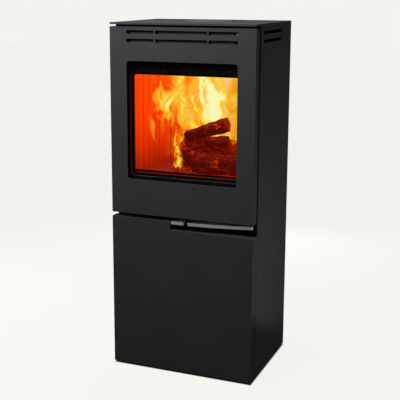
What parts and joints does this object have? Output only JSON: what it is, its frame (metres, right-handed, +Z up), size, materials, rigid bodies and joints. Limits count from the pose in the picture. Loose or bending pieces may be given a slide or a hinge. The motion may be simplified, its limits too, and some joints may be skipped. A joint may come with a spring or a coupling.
{
  "type": "hybrid stove",
  "caption": "Tall free-standing stove for logs and pellets with a hinged glazed fire door, a lower store door, satin levers, a lined fire chamber, hopper and auger.",
  "frame": {"origin": "on the floor below the middle of the casing", "axes": "+Z up, front towards -Y, +X to the right seen from the front"},
  "size_m": [0.5, 0.38, 1.175],
  "materials": {
    "black_paint": "matt heat-proof paint",
    "dark_sheet": "matt heat-proof paint",
    "satin_steel": "satin",
    "plain_steel": "plain",
    "zinc_sheet": "zinc coated",
    "fire_glass": "clear",
    "seal_rope": "knitted glass rope",
    "firebrick": "pressed, matt",
    "cast_iron": "as cast",
    "black_plastic": "moulded",
    "motor_housing": "die cast",
    "circuit_board": "solder mask"
  },
  "bodies": {
    "casing": {"base_plate": "dark_sheet", "levelling_feet": "plain_steel", "left_side_panel": "black_paint", "right_side_panel": "black_paint", "rear_panel": "dark_sheet", "top_plate": "black_paint", "casing_screws": "plain_steel", "front_frame": "dark_sheet", "shelf": "dark_sheet", "firebox_shell": "dark_sheet", "flue_spigot": "dark_sheet", "blanking_plate": "dark_sheet", "left_brick": "firebrick", "right_brick": "firebrick", "rear_brick": "firebrick", "floor_bricks": "firebrick", "baffle_brick": "firebrick", "fire_grate": "cast_iron", "log_guard": "cast_iron", "ash_housing": "dark_sheet", "air_box": "zinc_sheet", "fan_housing": "zinc_sheet", "fan_motor": "black_plastic", "air_intake_spigot": "zinc_sheet", "pellet_hopper": "zinc_sheet", "lid_hinge_rod": "plain_steel", "auger_tube": "zinc_sheet", "auger_motor": "motor_housing", "drop_chute": "zinc_sheet", "igniter": "plain_steel", "control_box": "black_plastic", "control_board": "circuit_board", "power_inlet": "black_plastic", "hinge_brackets": "plain_steel", "hinge_pins": "plain_steel", "latch_keeper": "plain_steel", "door_magnet": "black_plastic"},
    "fire_door": {"door_panel": "black_paint", "slot_backing": "black_paint", "glass_seal": "seal_rope", "door_glass": "fire_glass", "glass_clips": "dark_sheet", "door_frame": "dark_sheet", "door_seal": "seal_rope", "fire_hinge_lugs": "plain_steel", "handle_pin": "plain_steel", "handle_bracket": "dark_sheet"},
    "door_handle": {"door_handle": "satin_steel", "latch_cam": "plain_steel"},
    "air_control": {"air_lever": "satin_steel", "air_valve": "plain_steel"},
    "lower_door": {"lower_door_panel": "black_paint", "lower_door_frame": "dark_sheet", "lower_hinge_lugs": "plain_steel", "magnet_strike": "plain_steel"},
    "flue_cover": {"flue_cover": "black_paint"},
    "hopper_lid": {"hopper_lid": "zinc_sheet"},
    "auger": {"auger_screw": "plain_steel"},
    "fan": {"fan_impeller": "black_plastic"},
    "ash_drawer": {"ash_drawer": "dark_sheet"}
  },
  "joints": [
    {"name": "fire_door_hinge", "type": "hinge", "parent": "casing", "child": "fire_door", "pos_m": [-0.245, -0.1517, 0.853], "axis": [0, 0, -1], "range_deg": [0, 110]},
    {"name": "door_handle_swing", "type": "hinge", "parent": "fire_door", "child": "door_handle", "pos_m": [0.232, -0.1521, 0.526], "axis": [0, 0, 1], "range_deg": [0, 30]},
    {"name": "air_lever_pull", "type": "slide", "parent": "casing", "child": "air_control", "axis": [0, -1, 0], "range_m": [0, 0.04]},
    {"name": "lower_door_hinge", "type": "hinge", "parent": "casing", "child": "lower_door", "pos_m": [-0.245, -0.1517, 0.253], "axis": [0, 0, -1], "range_deg": [0, 110]},
    {"name": "flue_cover_lift", "type": "slide", "parent": "casing", "child": "flue_cover", "axis": [0, 0, 1], "range_m": [0, 0.05]},
    {"name": "hopper_lid_hinge", "type": "hinge", "parent": "casing", "child": "hopper_lid", "pos_m": [0.103, 0.0055, 0.3183], "axis": [-1, 0, 0], "range_deg": [0, 80]},
    {"name": "auger_spin", "type": "hinge", "parent": "casing", "child": "auger", "pos_m": [0.13, 0.147, 0.42], "axis": [0, 0, 1], "continuous": true},
    {"name": "fan_spin", "type": "hinge", "parent": "casing", "child": "fan", "pos_m": [0, 0.106, 0.52], "axis": [0, 1, 0], "continuous": true},
    {"name": "ash_drawer_slide", "type": "slide", "parent": "casing", "child": "ash_drawer", "axis": [0, -1, 0], "range_m": [0, 0.15]}
  ],
  "couplings": [
    {"joint": "ash_drawer_slide", "follows": "fire_door_hinge", "m_per_rad": 0.078}
  ]
}
